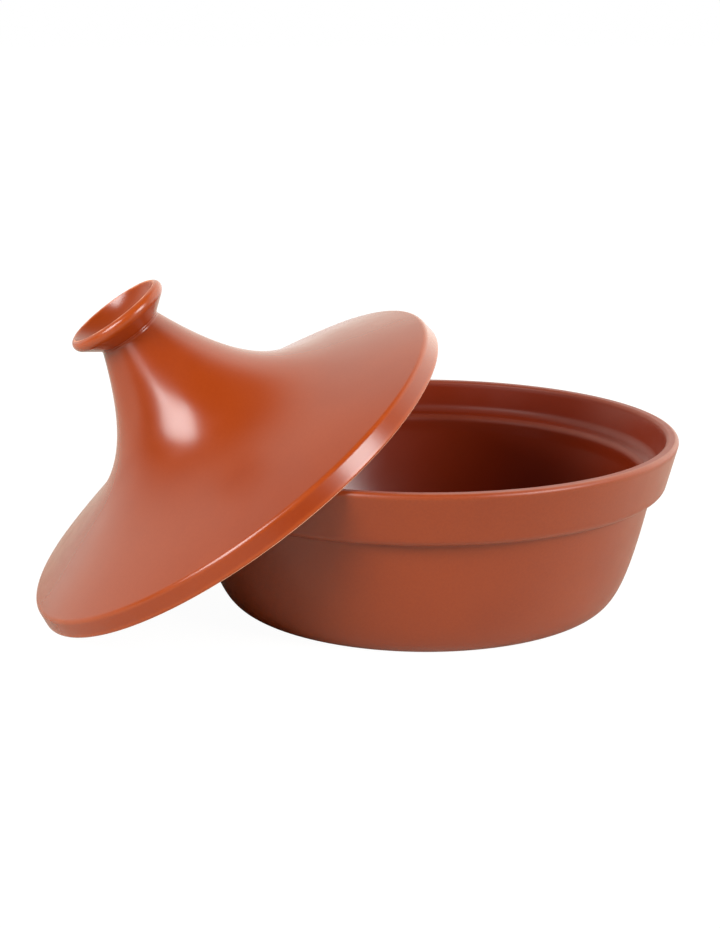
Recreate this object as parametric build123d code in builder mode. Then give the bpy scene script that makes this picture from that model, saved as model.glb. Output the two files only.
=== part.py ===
"""Glazed earthenware tagine: a round cooking dish, and its conical lid leaning on the dish's rim."""

from build123d import *
from math import atan2, cos, pi, radians, sin, tan
import os

os.makedirs("parts", exist_ok=True)

# All lengths in millimetres. The dish stands on the floor at Z = 0, and its foot's centre is
# the origin. The lid leans towards -X, with the edge of its rim on the floor.

# Dish, outside
dish_height = 92.4
rim_radius = 140.0
band_bottom_height = 64.4
band_bottom_radius = 132.8
band_edge_rounding = 5.0
wall_top_radius = 126.3
wall_root_rounding = 2.9
foot_radius = 98.6
foot_flare = 9.8
wall_lean = 11.2
wall_rise = 53.6

# Dish, inside: a recessed ledge that carries the lid, then the bowl
lip_thickness = 7.0
lip_rounding = 2.1
ledge_depth = 17.2
ledge_outer_radius = 129.4
ledge_cove = 5.0
ledge_inner_radius = 120.5
ledge_fall = 2.4
ledge_nose_rounding = 4.0
bowl_wall = 6.6
bowl_floor = 8.0

# Lid, in its own frame: radius from its axis, height above the plane of its rim
lid_rim_radius = 128.9
lid_rim_thickness = 6.2
lid_edge_rounding = 1.2
lid_band_height = 10.2
lid_band_radius = 127.4
lid_shoulder_rounding = 3.0
lid_wall = 5.0
neck_radius = 17.3
neck_height = 96.5
shoulder_reach = 60.2
shoulder_slope = 0.373
neck_reach = 27.6
neck_slope = 2.5
crown_height = 88.5
crown_rounding = 5.0

# Knob: a small open cup on the neck, with a thick rolled rim that ends in a thin crest
collar_step = 0.5
collar_height = 0.6
collar_rounding = 0.25
knob_radius = 27.9
knob_under_height = 105.1
knob_under_rounding = 4.1
knob_shoulder_height = 109.0
knob_shoulder_rounding = 3.0
knob_crest_radius = 25.2
knob_crest_height = 110.4
knob_crest_rounding = 0.4
cup_depth = 12.7
cup_wall_lean = 5.6
cup_wall_drop = 8.0
cup_floor_radius = 9.8

# Lid's resting pose
lid_tilt = 35.26
lid_reach = 101.5


def round_corners(section, corners):
    """Round the section's vertex nearest to each (radius, height) by the rounding given with it."""
    for radius, height, rounding in corners:
        fillet(section.vertices().sort_by_distance((radius, height, 0))[0], rounding)


with BuildPart() as base_dish:
    with BuildSketch(Plane.XZ) as dish_section:
        with BuildLine():
            outer_wall = Bezier(
                (foot_radius, 0),
                (foot_radius + foot_flare, 0),
                (wall_top_radius - wall_lean, band_bottom_height - wall_rise),
                (wall_top_radius, band_bottom_height),
            )
            rim = Polyline(
                outer_wall @ 1,
                (band_bottom_radius, band_bottom_height),
                (rim_radius, dish_height),
                (rim_radius - lip_thickness, dish_height),
                (ledge_outer_radius, dish_height - ledge_depth),
                (ledge_inner_radius, dish_height - ledge_depth - ledge_fall),
                (wall_top_radius - bowl_wall, band_bottom_height),
            )
            inner_wall = Bezier(
                rim @ 1,
                (wall_top_radius - wall_lean - bowl_wall, band_bottom_height - wall_rise + bowl_floor),
                (foot_radius + foot_flare - bowl_wall, bowl_floor),
                (foot_radius - bowl_wall, bowl_floor),
            )
            Polyline(inner_wall @ 1, (0, bowl_floor), (0, 0), outer_wall @ 0)
        make_face()
        round_corners(
            dish_section,
            (
                (wall_top_radius, band_bottom_height, wall_root_rounding),
                (band_bottom_radius, band_bottom_height, band_edge_rounding),
                (rim_radius, dish_height, lip_rounding),
                (rim_radius - lip_thickness, dish_height, lip_rounding),
                (ledge_outer_radius, dish_height - ledge_depth, ledge_cove),
                (ledge_inner_radius, dish_height - ledge_depth - ledge_fall, ledge_nose_rounding),
            ),
        )
    revolve(axis=Axis.Z)
base_dish.part.label = "base_dish"
export_step(base_dish.part, "parts/base_dish.step")


# The lid's wall keeps its thickness, so the inner outline is the outer one moved in and down
shoulder_rise = shoulder_reach * shoulder_slope
shoulder_length = (1 + shoulder_slope**2) ** 0.5
wall_in = lid_wall * shoulder_slope / shoulder_length
wall_down = lid_wall / shoulder_length
neck_length = (1 + neck_slope**2) ** 0.5
crown_radius = neck_radius + (neck_height - crown_height) / neck_slope - lid_wall * neck_length / neck_slope
crown_reach = neck_reach - (neck_height - crown_height) / neck_slope
rim_inner_radius = lid_rim_radius - lid_rim_thickness
lid_inner_radius = rim_inner_radius - (lid_rim_radius - lid_band_radius)
lid_inner_height = lid_band_height + (lid_band_radius - lid_inner_radius) * shoulder_slope - wall_down

# The lid's rim circle is centred above the floor so that its rounded lower edge just touches it
tilt = radians(lid_tilt)
band_slant = atan2(lid_rim_radius - lid_band_radius, lid_band_height)
edge_centre_radius = lid_rim_radius - lid_edge_rounding / tan((pi / 2 - band_slant) / 2)
rim_centre_height = edge_centre_radius * sin(tilt) + lid_edge_rounding * (1 - cos(tilt))
lid_plane = Plane(
    origin=(-lid_reach, 0, rim_centre_height), x_dir=(cos(tilt), 0, sin(tilt)), z_dir=(0, -1, 0)
)
lid_axis = Axis(lid_plane.origin, lid_plane.y_dir)

with BuildPart() as lid:
    with BuildSketch(lid_plane) as lid_section:
        with BuildLine():
            cone = Bezier(
                (lid_band_radius, lid_band_height),
                (lid_band_radius - shoulder_reach, lid_band_height + shoulder_rise),
                (neck_radius + neck_reach, neck_height - neck_reach * neck_slope),
                (neck_radius, neck_height),
            )
            knob = Polyline(
                cone @ 1,
                (neck_radius + collar_step, neck_height),
                (neck_radius + collar_step, neck_height + collar_height),
                (knob_radius, knob_under_height),
                (knob_radius, knob_shoulder_height),
                (knob_crest_radius, knob_crest_height),
            )
            cup = Bezier(
                knob @ 1,
                (knob_crest_radius - cup_wall_lean, knob_crest_height - cup_wall_drop),
                (cup_floor_radius, knob_crest_height - cup_depth),
                (0, knob_crest_height - cup_depth),
            )
            crown = Polyline(cup @ 1, (0, crown_height), (crown_radius, crown_height))
            inner_cone = Bezier(
                crown @ 1,
                (crown_radius + crown_reach, crown_height - crown_reach * neck_slope),
                (lid_band_radius - shoulder_reach - wall_in, lid_band_height + shoulder_rise - wall_down),
                (lid_inner_radius, lid_inner_height),
            )
            Polyline(inner_cone @ 1, (rim_inner_radius, 0), (lid_rim_radius, 0), cone @ 0)
        make_face()
        round_corners(
            lid_section,
            (
                (lid_band_radius, lid_band_height, lid_shoulder_rounding),
                (neck_radius + collar_step, neck_height, collar_rounding),
                (neck_radius + collar_step, neck_height + collar_height, collar_rounding),
                (knob_radius, knob_under_height, knob_under_rounding),
                (knob_radius, knob_shoulder_height, knob_shoulder_rounding),
                (knob_crest_radius, knob_crest_height, knob_crest_rounding),
                (crown_radius, crown_height, crown_rounding),
                (lid_inner_radius, lid_inner_height, lid_shoulder_rounding),
                (rim_inner_radius, 0, lid_edge_rounding),
                (lid_rim_radius, 0, lid_edge_rounding),
            ),
        )
    revolve(axis=lid_axis)
lid.part.label = "lid"
export_step(lid.part, "parts/lid.step")
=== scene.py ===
"""Studio scene of a glazed earthenware tagine: a round dish, and its conical lid leaning on it.

Outlines are in millimetres, as (radius, height) from the piece's own axis. Everything that
Blender is given is in metres, in the CAD frame.
"""

import math

import bpy
import numpy as np
from mathutils import Matrix, Quaternion, Vector


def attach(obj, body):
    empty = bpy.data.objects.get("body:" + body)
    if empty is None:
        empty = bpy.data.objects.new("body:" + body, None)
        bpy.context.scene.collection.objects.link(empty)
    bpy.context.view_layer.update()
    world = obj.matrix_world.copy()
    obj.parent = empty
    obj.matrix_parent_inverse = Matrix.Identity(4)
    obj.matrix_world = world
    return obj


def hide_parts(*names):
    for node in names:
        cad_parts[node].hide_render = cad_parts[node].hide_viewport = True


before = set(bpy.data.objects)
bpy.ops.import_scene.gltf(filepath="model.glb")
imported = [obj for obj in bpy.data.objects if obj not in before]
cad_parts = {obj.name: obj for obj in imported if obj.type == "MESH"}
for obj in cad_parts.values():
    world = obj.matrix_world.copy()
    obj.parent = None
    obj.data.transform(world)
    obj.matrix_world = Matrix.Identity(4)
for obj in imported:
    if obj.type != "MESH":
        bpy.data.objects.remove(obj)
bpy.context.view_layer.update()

MM = 0.001

# Dish, outside
DISH_HEIGHT = 92.4
RIM_RADIUS = 140.0
BAND_BOTTOM_HEIGHT = 64.4
BAND_BOTTOM_RADIUS = 132.8
BAND_EDGE_ROUNDING = 5.0
WALL_TOP_RADIUS = 126.3
WALL_ROOT_ROUNDING = 2.9
FOOT_RADIUS = 98.6
FOOT_FLARE = 9.8
WALL_LEAN = 11.2
WALL_RISE = 53.6

# Dish, inside
LIP_THICKNESS = 7.0
LIP_ROUNDING = 2.1
LEDGE_DEPTH = 17.2
LEDGE_OUTER_RADIUS = 129.4
LEDGE_COVE = 5.0
LEDGE_INNER_RADIUS = 120.5
LEDGE_FALL = 2.4
LEDGE_NOSE_ROUNDING = 4.0
BOWL_WALL = 6.6
BOWL_FLOOR = 8.0

# Lid
LID_RIM_RADIUS = 128.9
LID_RIM_THICKNESS = 6.2
LID_EDGE_ROUNDING = 1.2
LID_BAND_HEIGHT = 10.2
LID_BAND_RADIUS = 127.4
LID_SHOULDER_ROUNDING = 3.0
LID_WALL = 5.0
NECK_RADIUS = 17.3
NECK_HEIGHT = 96.5
SHOULDER_REACH = 60.2
SHOULDER_SLOPE = 0.373
NECK_REACH = 27.6
NECK_SLOPE = 2.5
CROWN_HEIGHT = 88.5
CROWN_ROUNDING = 5.0

# Knob
COLLAR_STEP = 0.5
COLLAR_HEIGHT = 0.6
COLLAR_ROUNDING = 0.25
KNOB_RADIUS = 27.9
KNOB_UNDER_HEIGHT = 105.1
KNOB_UNDER_ROUNDING = 4.1
KNOB_SHOULDER_HEIGHT = 109.0
KNOB_SHOULDER_ROUNDING = 3.0
KNOB_CREST_RADIUS = 25.2
KNOB_CREST_HEIGHT = 110.4
KNOB_CREST_ROUNDING = 0.4
CUP_DEPTH = 12.7
CUP_WALL_LEAN = 5.6
CUP_WALL_DROP = 8.0
CUP_FLOOR_RADIUS = 9.8

# Lid's resting pose
LID_TILT = math.radians(35.26)
LID_REACH = 101.5

# How finely a piece is turned: steps on a curve and on an arc, the longest gap between an
# outline's points, the gap on each side of an arc, and steps round the axis
CURVE_STEPS = 48
ARC_STEPS = 10
LONGEST_STEP = 2.2
SUPPORT_STEP = 0.04
TURN_STEPS = 240

# How far a turned piece is out of round at its widest, in how many soft lobes, from what angle
OUT_OF_ROUND = -0.08
LOBES = 3
LOBE_START = 1

# Where glaze breaks, pools or is cleaned off, and where the knob's crest is painted pale as a painted
# highlight: lengths on an outline, and how pale that painted highlight is
BEND_SPREAD = 1.3
FOOT_WIPED_HEIGHT = 0.3
RIM_WIPED_HEIGHT = 0.5
# Painted highlight: the top of the knob's crest is mixed halfway to the pale colour, standing in for
# the line of light along it
CREST_HIGHLIGHT_DEPTH = 0.5
CREST_HIGHLIGHT = 0.48

# Glaze: how far it goes to another tone, from 0 to 1, how ragged its limits are, and its finish
CLOUDINESS = 0.3
POOLING = 0.5
EDGE_RAGGEDNESS = 0.4
BARE_AND_HIGHLIGHT_RAGGEDNESS = 0.6
CLAY_GRIT = 0.35
CLAY_RELIEF = 0.6
CLAY_ROUGHNESS = 0.85
SHEEN_CHANGE = 0.02
OUTSIDE_DRYNESS = 0.3

# Studio: places and distances in metres, angles in degrees, the camera's lens and sensor in
# millimetres, and a lamp's power in watts for each square metre and each unit of radiance
VIEW_TARGET = Vector((-0.0324, 0.0075, 0.0725))
CAMERA_AZIMUTH = -13.51
CAMERA_ELEVATION = 14.12
CAMERA_DISTANCE = 0.95
CAMERA_LENS = 66.96
CAMERA_SENSOR = 36
LAMP_DISTANCE = 1.8
LAMP_POWER_PER_RADIANCE = 4
FLOOR_SIZE = 60
FLOOR_GLOW = 1.1

# How far the surround's bright side is turned to the right, and its dark top leans to the left
SURROUND_TURN = 0.25
SURROUND_LEAN = 0.1


def curve(start, leaving, arriving, end, steps=CURVE_STEPS):
    """Points of a smooth stretch that leaves start towards one point and reaches end from another."""
    controls = [Vector(point) for point in (start, leaving, arriving, end)]
    points = []
    for step in range(steps + 1):
        t = step / steps
        weights = ((1 - t) ** 3, 3 * t * (1 - t) ** 2, 3 * t**2 * (1 - t), t**3)
        points.append(sum((w * c for w, c in zip(weights, controls)), Vector((0, 0))))
    return points


def straight(*corners):
    """Straight stretches through the corners, one after another."""
    return [[Vector(a), Vector(b)] for a, b in zip(corners, corners[1:])]


def shortened(points, length):
    """The run's points without its last stretch of that length, which may start between two."""
    points = list(points)
    while len(points) > 2 and (points[-1] - points[-2]).length <= length:
        length -= (points[-1] - points[-2]).length
        points.pop()
    back = (points[-2] - points[-1]).normalized()
    points[-1] = points[-1] + back * length
    return points


def rounded_joint(before, after, rounding):
    """Two runs joined at their shared corner by an arc, with a close point on each side of it."""
    into = (before[-1] - before[-2]).normalized()
    away = (after[1] - after[0]).normalized()
    turn = into.angle(away)
    cut = rounding * math.tan(turn / 2)
    before = shortened(before, cut)
    after = shortened(after[::-1], cut)[::-1]
    into = (before[-1] - before[-2]).normalized()
    away = (after[1] - after[0]).normalized()
    # A smooth stretch follows a circle's arc when its handles have this length
    handle = 4 / 3 * math.tan(turn / 4) * rounding
    arc = curve(before[-1], before[-1] + into * handle, after[0] - away * handle, after[0], ARC_STEPS)
    return (
        before[:-1]
        + [before[-1] - into * SUPPORT_STEP]
        + arc
        + [after[0] + away * SUPPORT_STEP]
        + after[1:]
    )


def joined(stretches, roundings):
    """One outline through the stretches, each joint rounded as given, with no long gaps."""
    run = list(stretches[0])
    for stretch, rounding in zip(stretches[1:], roundings):
        run = rounded_joint(run, stretch, rounding) if rounding else run + stretch[1:]
    points = [run[0]]
    for end in run[1:]:
        start = points[-1]
        parts = max(1, math.ceil((end - start).length / LONGEST_STEP))
        points += [start.lerp(end, (i + 1) / parts) for i in range(parts)]
    return points


def dish_outline():
    """The dish from the middle of its foot, up the outside, over the lip and down into the bowl."""
    ledge_height = DISH_HEIGHT - LEDGE_DEPTH
    outer_wall = curve(
        (FOOT_RADIUS, 0),
        (FOOT_RADIUS + FOOT_FLARE, 0),
        (WALL_TOP_RADIUS - WALL_LEAN, BAND_BOTTOM_HEIGHT - WALL_RISE),
        (WALL_TOP_RADIUS, BAND_BOTTOM_HEIGHT),
    )
    rim = straight(
        (WALL_TOP_RADIUS, BAND_BOTTOM_HEIGHT),
        (BAND_BOTTOM_RADIUS, BAND_BOTTOM_HEIGHT),
        (RIM_RADIUS, DISH_HEIGHT),
        (RIM_RADIUS - LIP_THICKNESS, DISH_HEIGHT),
        (LEDGE_OUTER_RADIUS, ledge_height),
        (LEDGE_INNER_RADIUS, ledge_height - LEDGE_FALL),
        (WALL_TOP_RADIUS - BOWL_WALL, BAND_BOTTOM_HEIGHT),
    )
    inner_wall = curve(
        (WALL_TOP_RADIUS - BOWL_WALL, BAND_BOTTOM_HEIGHT),
        (WALL_TOP_RADIUS - WALL_LEAN - BOWL_WALL, BAND_BOTTOM_HEIGHT - WALL_RISE + BOWL_FLOOR),
        (FOOT_RADIUS + FOOT_FLARE - BOWL_WALL, BOWL_FLOOR),
        (FOOT_RADIUS - BOWL_WALL, BOWL_FLOOR),
    )
    foot = straight((0, 0), (FOOT_RADIUS, 0))
    floor = straight((FOOT_RADIUS - BOWL_WALL, BOWL_FLOOR), (0, BOWL_FLOOR))
    roundings = [0, WALL_ROOT_ROUNDING, BAND_EDGE_ROUNDING, LIP_ROUNDING, LIP_ROUNDING, LEDGE_COVE]
    roundings += [LEDGE_NOSE_ROUNDING, 0, 0]
    return joined([*foot, outer_wall, *rim, inner_wall, *floor], roundings)


def lid_outline():
    """The lid from the middle of its crown, down the inside, round the rim and up into the cup."""
    shoulder_rise = SHOULDER_REACH * SHOULDER_SLOPE
    shoulder_length = math.hypot(1, SHOULDER_SLOPE)
    wall_in = LID_WALL * SHOULDER_SLOPE / shoulder_length
    wall_down = LID_WALL / shoulder_length
    neck_drop = NECK_HEIGHT - CROWN_HEIGHT
    crown_radius = NECK_RADIUS + (neck_drop - LID_WALL * math.hypot(1, NECK_SLOPE)) / NECK_SLOPE
    crown_reach = NECK_REACH - neck_drop / NECK_SLOPE
    rim_inner_radius = LID_RIM_RADIUS - LID_RIM_THICKNESS
    inner_radius = rim_inner_radius - (LID_RIM_RADIUS - LID_BAND_RADIUS)
    inner_height = LID_BAND_HEIGHT + (LID_BAND_RADIUS - inner_radius) * SHOULDER_SLOPE - wall_down
    inner_cone = curve(
        (crown_radius, CROWN_HEIGHT),
        (crown_radius + crown_reach, CROWN_HEIGHT - crown_reach * NECK_SLOPE),
        (LID_BAND_RADIUS - SHOULDER_REACH - wall_in, LID_BAND_HEIGHT + shoulder_rise - wall_down),
        (inner_radius, inner_height),
    )
    rim = straight(
        (inner_radius, inner_height),
        (rim_inner_radius, 0),
        (LID_RIM_RADIUS, 0),
        (LID_BAND_RADIUS, LID_BAND_HEIGHT),
    )
    cone = curve(
        (LID_BAND_RADIUS, LID_BAND_HEIGHT),
        (LID_BAND_RADIUS - SHOULDER_REACH, LID_BAND_HEIGHT + shoulder_rise),
        (NECK_RADIUS + NECK_REACH, NECK_HEIGHT - NECK_REACH * NECK_SLOPE),
        (NECK_RADIUS, NECK_HEIGHT),
    )
    knob = straight(
        (NECK_RADIUS, NECK_HEIGHT),
        (NECK_RADIUS + COLLAR_STEP, NECK_HEIGHT),
        (NECK_RADIUS + COLLAR_STEP, NECK_HEIGHT + COLLAR_HEIGHT),
        (KNOB_RADIUS, KNOB_UNDER_HEIGHT),
        (KNOB_RADIUS, KNOB_SHOULDER_HEIGHT),
        (KNOB_CREST_RADIUS, KNOB_CREST_HEIGHT),
    )
    cup = curve(
        (KNOB_CREST_RADIUS, KNOB_CREST_HEIGHT),
        (KNOB_CREST_RADIUS - CUP_WALL_LEAN, KNOB_CREST_HEIGHT - CUP_WALL_DROP),
        (CUP_FLOOR_RADIUS, KNOB_CREST_HEIGHT - CUP_DEPTH),
        (0, KNOB_CREST_HEIGHT - CUP_DEPTH),
    )
    crown = straight((0, CROWN_HEIGHT), (crown_radius, CROWN_HEIGHT))
    roundings = [CROWN_ROUNDING, LID_SHOULDER_ROUNDING, LID_EDGE_ROUNDING, LID_EDGE_ROUNDING]
    roundings += [LID_SHOULDER_ROUNDING, 0, COLLAR_ROUNDING, COLLAR_ROUNDING, KNOB_UNDER_ROUNDING]
    roundings += [KNOB_SHOULDER_ROUNDING, KNOB_CREST_ROUNDING]
    return joined([*crown, inner_cone, *rim, cone, *knob, cup], roundings)


def bend_of(outline):
    """How sharply the outline bends near each point, + on edges and - in hollows."""
    points = np.array([tuple(point) for point in outline])
    steps = np.diff(points, axis=0)
    lengths = np.hypot(*steps.T)
    heading = np.unwrap(np.arctan2(steps[:, 1], steps[:, 0]))
    turn = np.zeros(len(points))
    turn[1:-1] = np.diff(heading)
    along = np.concatenate([[0], np.cumsum(lengths)])
    near = np.exp(-(((along[:, None] - along[None, :]) / BEND_SPREAD) ** 2) / 2)
    return near @ turn


def ring_values(mesh, name, values):
    """Stores one number for each point of the outline that a mesh was turned from."""
    ends = [values[0], values[-1]]
    all_values = np.concatenate([np.repeat(values[1:-1], TURN_STEPS), ends])
    attribute = mesh.attributes.new(name, "FLOAT", "POINT")
    attribute.data.foreach_set("value", all_values.astype(np.float32))


def turned(name, outline, marks, placement):
    """A mesh object made by turning the outline about its own Z axis, closed at both ends.

    Each of the marks is a name and one number for each point of the outline.
    """
    angles = np.arange(TURN_STEPS) * 2 * math.pi / TURN_STEPS
    radii = np.array([point.x for point in outline[1:-1]])
    heights = np.array([point.y for point in outline[1:-1]])
    lobes = OUT_OF_ROUND * np.cos(LOBES * angles + LOBE_START)
    out = radii[:, None] + lobes * radii[:, None] / radii.max()
    up = np.broadcast_to(heights[:, None], out.shape)
    rings = np.stack([out * np.cos(angles), out * np.sin(angles), up], axis=-1).reshape(-1, 3)
    ends = np.array([[0, 0, outline[0].y], [0, 0, outline[-1].y]])
    vertices = np.concatenate([rings, ends]) * MM

    start = len(rings)
    end = start + 1
    last = start - TURN_STEPS
    faces = []
    for i in range(TURN_STEPS):
        j = (i + 1) % TURN_STEPS
        faces.append((start, j, i))
        faces.append((end, last + i, last + j))
        for ring in range(0, last, TURN_STEPS):
            faces.append((ring + i, ring + j, ring + TURN_STEPS + j, ring + TURN_STEPS + i))
    mesh = bpy.data.meshes.new(name)
    mesh.from_pydata(vertices.tolist(), [], faces)
    mesh.transform(placement)
    mesh.shade_smooth()

    ring_values(mesh, "bend", bend_of(outline))
    for mark, values in marks.items():
        ring_values(mesh, mark, values)
    piece = bpy.data.objects.new(name, mesh)
    bpy.context.scene.collection.objects.link(piece)
    return piece


def lid_placement():
    """The lid's own frame, centred in the plane of its rim, with the lower edge on the floor."""
    band_slant = math.atan2(LID_RIM_RADIUS - LID_BAND_RADIUS, LID_BAND_HEIGHT)
    edge_centre = LID_RIM_RADIUS - LID_EDGE_ROUNDING / math.tan((math.pi / 2 - band_slant) / 2)
    height = edge_centre * math.sin(LID_TILT) + LID_EDGE_ROUNDING * (1 - math.cos(LID_TILT))
    place = Matrix.Translation(Vector((-LID_REACH, 0, height)) * MM)
    return place @ Matrix.Rotation(-LID_TILT, 4, "Y")


class Nodes:
    """A short way to build a material's or a world's node tree."""

    # Sockets of a mix node that mixes colours: its factor, its two colours and its result
    MIX_FACTOR = 0
    MIX_A = 6
    MIX_B = 7
    MIX_RESULT = 2

    def __init__(self, owner):
        owner.use_nodes = True
        self.tree = owner.node_tree
        self.tree.nodes.clear()

    def add(self, kind, inputs=None, **properties):
        """A node with those properties. Its inputs are given by name or number."""
        node = self.tree.nodes.new(kind)
        for key, value in properties.items():
            setattr(node, key, value)
        for key, value in (inputs or {}).items():
            self.set(node.inputs[key], value)
        return node

    def set(self, socket, value):
        """Gives a socket a value, or links it to another socket."""
        if isinstance(value, bpy.types.NodeSocket):
            self.tree.links.new(value, socket)
        else:
            socket.default_value = value

    def math(self, operation, a, b=0.0):
        """The result of one operation on two values, or on the first alone."""
        return self.add("ShaderNodeMath", {0: a, 1: b}, operation=operation).outputs[0]

    def product(self, a, b):
        """Two values multiplied."""
        return self.math("MULTIPLY", a, b)

    def ramp(self, value, start, end, to=(0.0, 1.0)):
        """The value eased from one of two results to the other as it goes from start to end."""
        ends = {"Value": value, "From Min": start, "From Max": end, "To Min": to[0], "To Max": to[1]}
        return self.add("ShaderNodeMapRange", ends, interpolation_type="SMOOTHSTEP").outputs[0]

    def mix(self, amount, a, b):
        """Two colours mixed, from all the first at 0 to all the second at 1."""
        given = {self.MIX_FACTOR: amount, self.MIX_A: a, self.MIX_B: b}
        return self.add("ShaderNodeMix", given, data_type="RGBA").outputs[self.MIX_RESULT]

    def noise(self, where, scale, detail, roughness=0.5):
        """Soft noise, about 0.5, with that many cells to the metre."""
        given = {"Vector": where, "Scale": scale, "Detail": detail, "Roughness": roughness}
        return self.add("ShaderNodeTexNoise", given).outputs["Fac"]

    def separated(self, vector):
        """The X, Y and Z of a vector, by those names."""
        return self.add("ShaderNodeSeparateXYZ", {0: vector}).outputs

    def bump(self, height, distance, strength, over=None):
        """A normal from that height, on top of another normal if one is given."""
        given = {"Height": height, "Distance": distance, "Strength": strength}
        if over is not None:
            given["Normal"] = over
        return self.add("ShaderNodeBump", given).outputs[0]

    def show(self, kind, surface):
        """The tree's output node of that kind, with the surface linked to it."""
        self.set(self.add(kind).inputs["Surface"], surface)


def colour(red, green, blue):
    """A colour with full alpha."""
    return (red, green, blue, 1.0)


def glaze_tone(nodes, marks, noises, colours, break_through, grain):
    """Cloudy glaze, pooled dark in hollows and thin on edges, unglazed where it is cleaned off, and
    pale where a painted highlight is marked.
    """
    # Painted shade: the inside of each piece takes the darker inner tone, standing in for the shade
    # within it
    tone = nodes.mix(marks["inside"], colours["body"], colours["inner"])
    cloudy = nodes.ramp(noises["clouds"], 0.4, 0.75, to=(0.0, CLOUDINESS))
    tone = nodes.mix(cloudy, tone, colours["deep"])
    edge = nodes.math("ADD", marks["bend"], nodes.product(noises["uneven"], EDGE_RAGGEDNESS))
    tone = nodes.mix(nodes.ramp(edge, 0.3, 1.1, to=(0.0, break_through)), tone, colours["thin"])
    pooled = nodes.ramp(marks["bend"], -0.2, -1.0, to=(0.0, POOLING))
    tone = nodes.mix(pooled, tone, colours["deep"])
    grainy = nodes.ramp(noises["grit"], 0.35, 0.65, to=(0.0, grain))
    tone = nodes.mix(grainy, tone, colours["deep"])
    # Painted highlight: the pale unglazed colour also marks the knob's crest, standing in for a line
    # of light there
    gritty = nodes.ramp(noises["grit"], 0.3, 0.7, to=(0.0, CLAY_GRIT))
    clay_and_highlight = nodes.mix(gritty, colours["clay_and_highlight"], colours["thin"])
    return nodes.mix(marks["bare"], tone, clay_and_highlight)


def glaze_roughness(nodes, marks, noises, outer, inner, dry):
    """Uneven satin, drier on edges and in hollows, more so inside, and rough where unglazed and on
    the painted highlight.
    """

    def uneven(level):
        return nodes.ramp(noises["sheen"], 0.3, 0.7, to=(level - SHEEN_CHANGE, level + SHEEN_CHANGE))

    satin = nodes.ramp(marks["inside"], 0.0, 1.0, to=(uneven(outer), uneven(inner)))
    bent = nodes.ramp(nodes.math("ABSOLUTE", marks["bend"]), 0.1, 0.6)
    dryness = nodes.ramp(marks["inside"], 0.0, 1.0, to=(OUTSIDE_DRYNESS * dry, dry))
    drier = nodes.math("ADD", satin, nodes.product(bent, dryness))
    return nodes.ramp(marks["bare"], 0.0, 1.0, to=(drier, CLAY_ROUGHNESS))


def glaze_relief(nodes, marks, noises):
    """The normal of ware thrown by hand, under the glaze's faint peel, with grit where unglazed and
    on the painted highlight.
    """
    thrown = nodes.bump(noises["hand"], distance=0.0005, strength=0.5)
    glazed = nodes.bump(noises["peel"], distance=0.000002, strength=0.5, over=thrown)
    coarse = nodes.product(marks["bare"], CLAY_RELIEF)
    return nodes.bump(noises["grit"], distance=0.0001, strength=coarse, over=glazed)


def glaze(name, colours, outer_roughness, inner_roughness, break_through, grain, dry):
    """Satin glaze, with its own roughness inside and a darker inside tone that is painted shade, that
    follows the marks stored on a turned piece.
    """
    material = bpy.data.materials.new(name)
    nodes = Nodes(material)
    where = nodes.add("ShaderNodeTexCoord").outputs["Object"]
    noises = {
        "clouds": nodes.noise(where, scale=14, detail=3),
        "uneven": nodes.math("SUBTRACT", nodes.noise(where, scale=160, detail=3), 0.5),
        "grit": nodes.noise(where, scale=700, detail=4, roughness=0.7),
        "sheen": nodes.noise(where, scale=60, detail=3),
        "hand": nodes.noise(where, scale=22, detail=1),
        "peel": nodes.noise(where, scale=260, detail=1),
    }
    marks = {
        mark: nodes.add("ShaderNodeAttribute", attribute_name=mark).outputs["Fac"]
        for mark in ("bend", "inside", "wiped_and_highlight")
    }
    # Unglazed at the foot and the lid's rim, and a painted highlight on the knob's crest, each with
    # ragged limits
    ragged_bare_and_highlight = nodes.math("ADD", marks["wiped_and_highlight"], nodes.product(noises["uneven"], BARE_AND_HIGHLIGHT_RAGGEDNESS))
    marks["bare"] = nodes.ramp(ragged_bare_and_highlight, 0.35, 0.65)

    surface = {
        "Base Color": glaze_tone(nodes, marks, noises, colours, break_through, grain),
        "Roughness": glaze_roughness(nodes, marks, noises, outer_roughness, inner_roughness, dry),
        "Normal": glaze_relief(nodes, marks, noises),
        "IOR": 1.5,
    }
    shader = nodes.add("ShaderNodeBsdfPrincipled", surface)
    nodes.show("ShaderNodeOutputMaterial", shader.outputs[0])
    return material


def build_dish(material):
    """The dish, glazed all over but for the foot that it stands on."""
    outline = dish_outline()
    lip = max(range(len(outline)), key=lambda i: outline[i].y)
    marks = {
        "inside": [i > lip for i in range(len(outline))],
        "wiped_and_highlight": [point.y < FOOT_WIPED_HEIGHT for point in outline],
    }
    dish = turned("dish_glazed", outline, marks, Matrix.Identity(4))
    dish.data.materials.append(material)
    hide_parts("base_dish")
    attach(dish, "dish")


def lid_bare_and_highlight(point):
    """How far the lid goes to pale unglazed colour there: its rim is cleaned of glaze, and the crest
    of its knob is painted halfway pale as a painted highlight.
    """
    if point.y < RIM_WIPED_HEIGHT:
        return 1.0
    if point.y > KNOB_CREST_HEIGHT - CREST_HIGHLIGHT_DEPTH:
        return CREST_HIGHLIGHT
    return 0.0


def build_lid(material):
    """The lid and its knob, one fired piece, with its rim cleaned of glaze and a painted highlight
    along the knob's crest.
    """
    outline = lid_outline()
    rim = min(range(len(outline)), key=lambda i: outline[i].y)
    marks = {
        "inside": [i < rim for i in range(len(outline))],
        "wiped_and_highlight": [lid_bare_and_highlight(point) for point in outline],
    }
    lid = turned("lid_glazed", outline, marks, lid_placement())
    lid.data.materials.append(material)
    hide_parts("lid")
    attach(lid, "lid")


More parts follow.
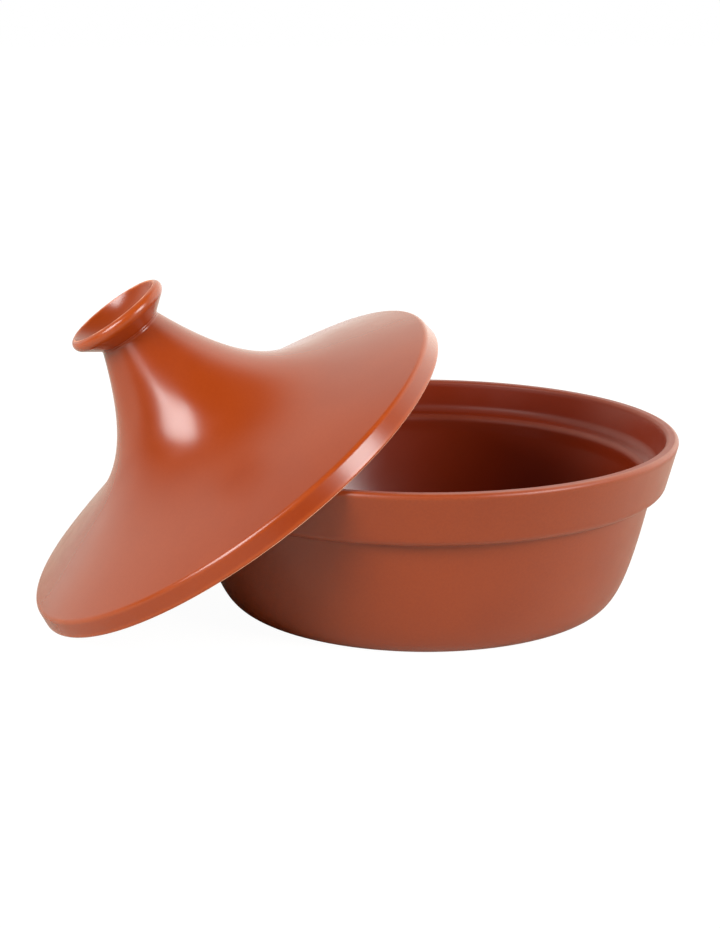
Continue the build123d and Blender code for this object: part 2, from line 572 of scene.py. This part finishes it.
def build_floor():
    """A wide pale floor, painted darker at the front and on the left as painted shade, and light to
    the camera all over.
    """
    bpy.ops.mesh.primitive_plane_add(size=FLOOR_SIZE)
    floor = bpy.context.object
    floor.name = "studio_floor"
    material = bpy.data.materials.new("studio_floor")
    nodes = Nodes(material)
    where = nodes.add("ShaderNodeTexCoord").outputs["Object"]
    distance = nodes.add("ShaderNodeVectorMath", {0: where}, operation="LENGTH").outputs["Value"]
    axes = nodes.separated(where)
    # Painted shade: the floor's colour darkens towards the front and on the left, standing in for the
    # shade that the dish and the lid cast there, seen only in light bounced onto the pieces
    depth = nodes.ramp(axes["Y"], -0.42, -0.02)
    from_left = nodes.ramp(axes["X"], -0.4, 0.1, to=(0.45, 1.0))
    lightness = nodes.product(depth, from_left)
    pale = nodes.mix(lightness, colour(0.42, 0.40, 0.35), colour(0.79, 0.765, 0.67))
    paper = nodes.add("ShaderNodeBsdfDiffuse", {"Color": pale})

    # Light that the far floor sends back to the object, more from the right
    side = nodes.ramp(axes["X"], -0.6, 0.6, to=(0.3, 1.25))
    strength = nodes.product(nodes.product(depth, side), nodes.ramp(distance, 0.3, 1.4))
    spill = nodes.add("ShaderNodeEmission", {"Color": colour(0.95, 0.95, 1.0), "Strength": strength})
    lit = nodes.add("ShaderNodeAddShader", {0: paper.outputs[0], 1: spill.outputs[0]})

    # The camera sees the floor as a white sheet, with a faint shadow near the object
    seen = nodes.add("ShaderNodeLightPath").outputs["Is Camera Ray"]
    lift = nodes.product(seen, nodes.ramp(distance, 0.35, 1.0, to=(0.88, 1.0)))
    glow = nodes.add("ShaderNodeEmission", {"Strength": FLOOR_GLOW})
    shader = nodes.add("ShaderNodeMixShader", {0: lift, 1: lit.outputs[0], 2: glow.outputs[0]})
    nodes.show("ShaderNodeOutputMaterial", shader.outputs[0])
    floor.data.materials.append(material)


def build_world():
    """A bright surround behind the object, brightest on the right, dim in front and overhead."""
    world = bpy.data.worlds.new("studio")
    bpy.context.scene.world = world
    nodes = Nodes(world)
    axes = nodes.separated(nodes.add("ShaderNodeTexCoord").outputs["Generated"])
    turned_back = nodes.math("ADD", axes["Y"], nodes.product(axes["X"], SURROUND_TURN))
    behind = nodes.ramp(turned_back, -0.25, 0.45, to=(0.10, 1.25))
    left = nodes.ramp(axes["X"], -0.7, -0.1, to=(0.92, 1.0))
    right = nodes.ramp(axes["X"], 0.1, 0.7, to=(1.0, 1.85))
    around = nodes.product(nodes.product(behind, left), right)
    ceiling = nodes.math("SUBTRACT", axes["Z"], nodes.product(axes["X"], SURROUND_LEAN))
    level = nodes.product(around, nodes.ramp(ceiling, 0.70, 0.96, to=(1.0, 0.15)))

    # The camera sees plain white
    seen = nodes.add("ShaderNodeLightPath").outputs["Is Camera Ray"]
    strength = nodes.ramp(seen, 0.0, 1.0, to=(level, 1.0))
    tint = nodes.mix(seen, colour(1.0, 0.97, 0.87), colour(1, 1, 1))
    background = nodes.add("ShaderNodeBackground", {"Color": tint, "Strength": strength})
    nodes.show("ShaderNodeOutputWorld", background.outputs[0])


def direction_to(azimuth, elevation):
    """The way to something seen from the object: azimuth 0 is -Y and 90 is +X."""
    a = math.radians(azimuth)
    e = math.radians(elevation)
    return Vector((math.sin(a) * math.cos(e), -math.cos(a) * math.cos(e), math.sin(e)))


def softbox(name, azimuth, elevation, wide, tall, radiance, roll=0):
    """A rectangular lamp that fills that many degrees of the view from the target."""
    lamp = bpy.data.lights.new(name, "AREA")
    lamp.shape = "RECTANGLE"
    lamp.size = 2 * LAMP_DISTANCE * math.tan(math.radians(wide / 2))
    lamp.size_y = 2 * LAMP_DISTANCE * math.tan(math.radians(tall / 2))
    lamp.energy = LAMP_POWER_PER_RADIANCE * lamp.size * lamp.size_y * radiance
    box = bpy.data.objects.new(name, lamp)
    away = direction_to(azimuth, elevation)
    box.location = VIEW_TARGET + away * LAMP_DISTANCE
    box.rotation_mode = "QUATERNION"
    turned_by = Quaternion((0, 0, 1), math.radians(roll))
    box.rotation_quaternion = away.to_track_quat("Z", "Y") @ turned_by
    box.visible_camera = False
    bpy.context.scene.collection.objects.link(box)


def build_camera():
    """The camera, level and looking slightly down at the object from its front left."""
    data = bpy.data.cameras.new("camera")
    data.lens = CAMERA_LENS
    data.sensor_width = CAMERA_SENSOR
    camera = bpy.data.objects.new("camera", data)
    back = direction_to(CAMERA_AZIMUTH, CAMERA_ELEVATION)
    camera.location = VIEW_TARGET + back * CAMERA_DISTANCE
    camera.rotation_mode = "QUATERNION"
    camera.rotation_quaternion = back.to_track_quat("Z", "Y")
    bpy.context.scene.collection.objects.link(camera)
    bpy.context.scene.camera = camera


dish_glaze = glaze(
    "dish_glaze",
    colours={
        "body": colour(0.262, 0.038, 0.005),
        # Painted shade: darker than the body, for the shade inside the bowl
        "inner": colour(0.215, 0.0195, 0.0032),
        "deep": colour(0.17, 0.018, 0.0032),
        "thin": colour(0.34, 0.062, 0.012),
        "clay_and_highlight": colour(0.5, 0.24, 0.13),
    },
    outer_roughness=0.35,
    inner_roughness=0.31,
    break_through=0.25,
    grain=0.22,
    dry=0.2,
)
lid_glaze = glaze(
    "lid_glaze",
    colours={
        "body": colour(0.295, 0.041, 0.005),
        # Painted shade: darker than the body, for the shade under the lid
        "inner": colour(0.18, 0.018, 0.003),
        "deep": colour(0.2, 0.02, 0.0025),
        "thin": colour(0.38, 0.062, 0.008),
        # Pale unglazed colour for the rim, also used for the painted highlight on the knob's crest
        "clay_and_highlight": colour(0.85, 0.42, 0.26),
    },
    outer_roughness=0.24,
    inner_roughness=0.24,
    break_through=0.7,
    grain=0.12,
    dry=0.0,
)
build_dish(dish_glaze)
build_lid(lid_glaze)
build_floor()
build_world()
softbox("softbox_left", azimuth=-61, elevation=32, wide=28, tall=27, radiance=10.6)
softbox("softbox_right", azimuth=41, elevation=25, wide=22, tall=28, radiance=11.2, roll=24)
softbox("bounce_left", azimuth=-45, elevation=12, wide=20, tall=16, radiance=1.4)
build_camera()
bpy.context.scene.view_settings.view_transform = "Standard"
